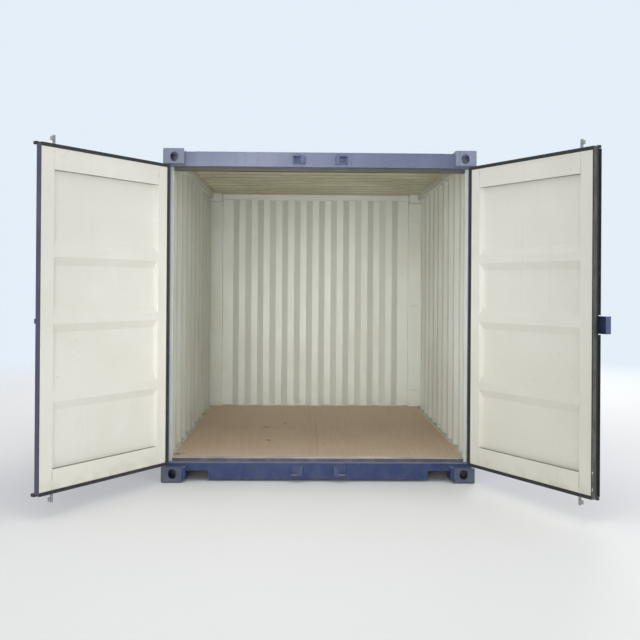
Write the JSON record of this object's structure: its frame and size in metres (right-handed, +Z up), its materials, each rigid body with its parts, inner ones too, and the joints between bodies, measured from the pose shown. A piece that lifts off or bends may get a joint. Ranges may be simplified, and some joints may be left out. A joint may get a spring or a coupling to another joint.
{
  "type": "shipping container",
  "caption": "Ten foot steel shipping container with corrugated walls, plywood floor, hollow corner castings and hinged end doors with lock bars.",
  "frame": {"origin": "midway between the slots of the four bottom corner castings, on their underside", "axes": "+X along the length toward the doors, +Y to the right seen from in front of the doors, +Z up"},
  "size_m": [4.0446, 3.7829, 2.591],
  "materials": {
    "blue_paint": "satin",
    "cream_paint": "satin",
    "plywood": "matte",
    "seal_rubber": "matte",
    "zinc_steel": "satin"
  },
  "bodies": {
    "container": {"bottom_castings": "blue_paint", "top_castings": "blue_paint", "left_door_post": "blue_paint", "right_door_post": "blue_paint", "left_back_post": "cream_paint", "right_back_post": "cream_paint", "left_hinge_lugs": "blue_paint", "right_hinge_lugs": "blue_paint", "door_sill": "blue_paint", "door_header": "blue_paint", "back_sill": "blue_paint", "back_header": "cream_paint", "sill_keepers": "blue_paint", "header_keepers": "blue_paint", "left_bottom_rail": "blue_paint", "right_bottom_rail": "blue_paint", "left_top_rail": "blue_paint", "right_top_rail": "blue_paint", "left_wall": "cream_paint", "right_wall": "cream_paint", "back_wall": "cream_paint", "roof": "blue_paint", "crossmembers": "blue_paint", "fork_pockets": "blue_paint", "left_floor": "plywood", "right_floor": "plywood", "threshold": "zinc_steel", "lashing_bars": "cream_paint"},
    "left_door": {"left_door_frame": "cream_paint", "left_door_panel": "cream_paint", "left_door_gasket": "seal_rubber", "left_hinge_blades": "blue_paint", "left_bar_guides": "zinc_steel", "left_handle_catch": "zinc_steel", "left_lock_staple": "blue_paint"},
    "left_lock_bar": {"left_lock_bar": "zinc_steel"},
    "right_door": {"right_door_frame": "cream_paint", "right_door_panel": "cream_paint", "right_door_gasket": "seal_rubber", "right_hinge_blades": "blue_paint", "right_bar_guides": "zinc_steel", "right_handle_catch": "zinc_steel", "right_lock_box": "blue_paint"},
    "right_lock_bar": {"right_lock_bar": "zinc_steel"}
  },
  "joints": [
    {"name": "left_door_hinge", "type": "hinge", "parent": "container", "child": "left_door", "pos_m": [1.4635, -1.203, 1.2], "axis": [0, 0, -1], "range_deg": [-125, 140]},
    {"name": "right_door_hinge", "type": "hinge", "parent": "container", "child": "right_door", "pos_m": [1.4635, 1.203, 1.2], "axis": [0, 0, 1], "range_deg": [-121.5, 143.5]},
    {"name": "left_lock_turn", "type": "hinge", "parent": "left_door", "child": "left_lock_bar", "pos_m": [2.30813, -1.80296, 1.2], "axis": [0, 0, 1], "range_deg": [0, 180]},
    {"name": "right_lock_turn", "type": "hinge", "parent": "right_door", "child": "right_lock_bar", "pos_m": [2.34318, 1.75028, 1.2], "axis": [0, 0, -1], "range_deg": [0, 180]}
  ]
}
